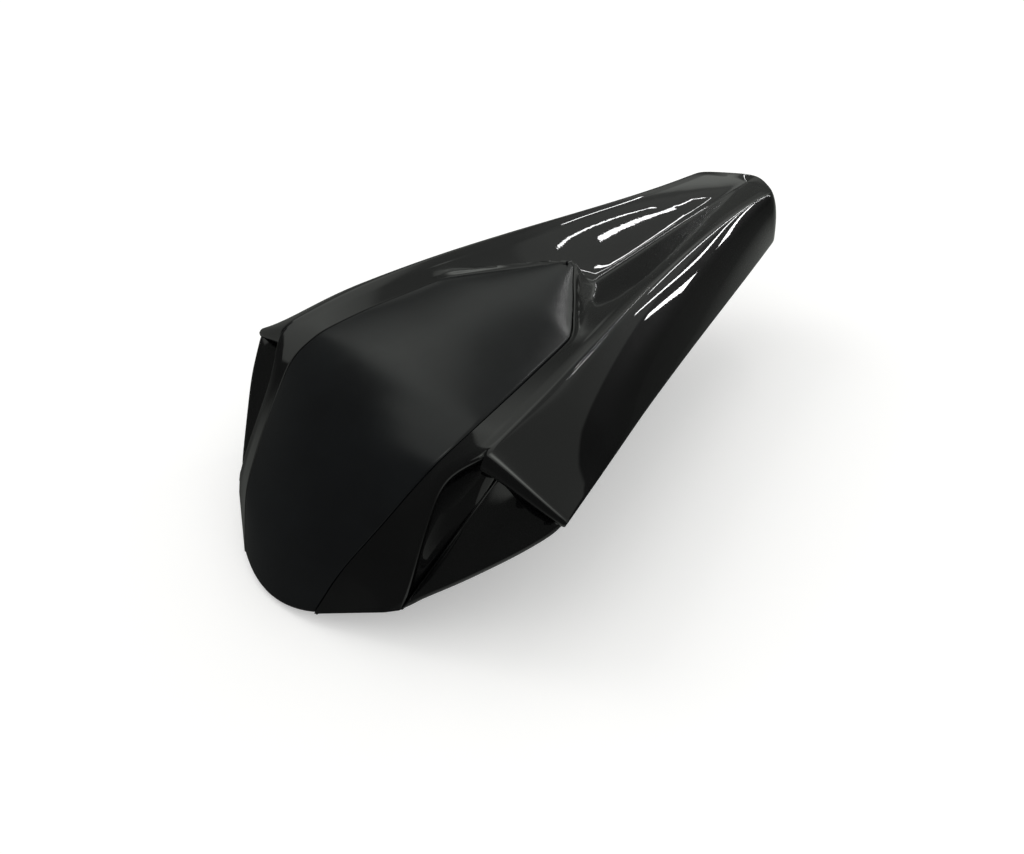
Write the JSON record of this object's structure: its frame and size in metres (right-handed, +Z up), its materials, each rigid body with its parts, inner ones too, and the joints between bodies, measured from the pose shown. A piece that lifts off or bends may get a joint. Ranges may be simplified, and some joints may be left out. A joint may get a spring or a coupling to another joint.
{
  "type": "seat cowl",
  "caption": "Gloss moulded seat cowl with a satin insert panel, raised ridges and blind side scoops, on a ribbed pan with a hook, a latch striker and rubber feet.",
  "frame": {"origin": "centre of the round striker bar under the pan", "axes": "+X to the machine's left, +Y to the tail, +Z up off the pan"},
  "size_m": [0.25, 0.397, 0.0998],
  "materials": {
    "gloss_black": "high gloss clear-coated moulding",
    "satin_black": "smooth satin",
    "filled_nylon": "fine-textured as moulded",
    "black_steel": "black coated",
    "zinc_steel": "zinc plated",
    "bright_steel": "bright drawn bar",
    "spring_steel": "oiled spring steel",
    "rubber": "matt moulded rubber"
  },
  "bodies": {
    "root": {"cowl_shell": "gloss_black", "insert_panel": "satin_black", "base_pan": "filled_nylon", "front_hook": "black_steel", "hook_screws": "zinc_steel", "hook_washers": "zinc_steel", "hook_nuts": "zinc_steel", "striker_loop": "bright_steel", "striker_plate": "zinc_steel", "striker_washers": "zinc_steel", "striker_nuts": "zinc_steel", "pan_screws": "black_steel", "pan_washers": "black_steel", "panel_push_nuts": "spring_steel", "foot_front_left": "rubber", "foot_front_right": "rubber", "foot_rear_left": "rubber", "foot_rear_right": "rubber", "side_pad_left": "rubber", "side_pad_right": "rubber"}
  },
  "joints": []
}
